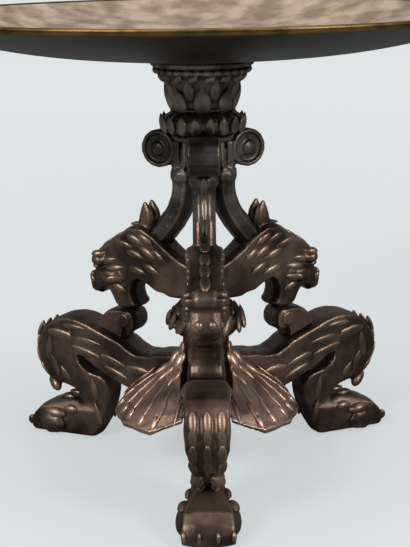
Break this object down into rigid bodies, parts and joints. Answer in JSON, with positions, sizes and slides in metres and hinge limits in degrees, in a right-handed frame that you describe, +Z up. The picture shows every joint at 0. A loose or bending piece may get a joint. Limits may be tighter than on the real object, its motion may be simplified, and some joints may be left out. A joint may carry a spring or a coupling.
{
  "type": "tripod bowl",
  "caption": "Cast bronze footed dish: wide shallow bowl on a bell capital, scrolled arms with eared beast heads, and a tripod of paw-footed legs with apron leaves.",
  "frame": {"origin": "on the central axis at the level of the soles", "axes": "+Z up along the axis, the front leg toward -Y, +X to the right seen from the front"},
  "size_m": [0.26, 0.26, 0.2157],
  "materials": {
    "dark_bronze": "dark brown patinated bronze, semi-gloss",
    "worn_bronze": "brown patinated bronze, worn reddish on the high parts",
    "dish_bronze": "dark underside, worn golden rim and mottled golden inside",
    "rod_steel": "plain steel, slightly dulled"
  },
  "bodies": {
    "root": {"bowl": "dish_bronze", "bead_band": "dark_bronze", "bell_capital": "dark_bronze", "gadroon_collar": "dark_bronze", "volute_hub": "dark_bronze", "knop": "worn_bronze", "trunk": "worn_bronze", "tie_rod": "rod_steel", "rod_washer": "rod_steel", "rod_nut": "rod_steel", "arm_left": "dark_bronze", "beast_left": "dark_bronze", "leg_left": "worn_bronze", "knee_scroll_left": "worn_bronze", "leg_pin_left": "rod_steel", "arm_front": "dark_bronze", "beast_front": "dark_bronze", "leg_front": "worn_bronze", "knee_scroll_front": "worn_bronze", "leg_pin_front": "rod_steel", "arm_right": "dark_bronze", "beast_right": "dark_bronze", "leg_right": "worn_bronze", "knee_scroll_right": "worn_bronze", "leg_pin_right": "rod_steel", "apron_leaf_front_left": "worn_bronze", "apron_leaf_front_right": "worn_bronze", "apron_leaf_back": "worn_bronze"}
  },
  "joints": []
}
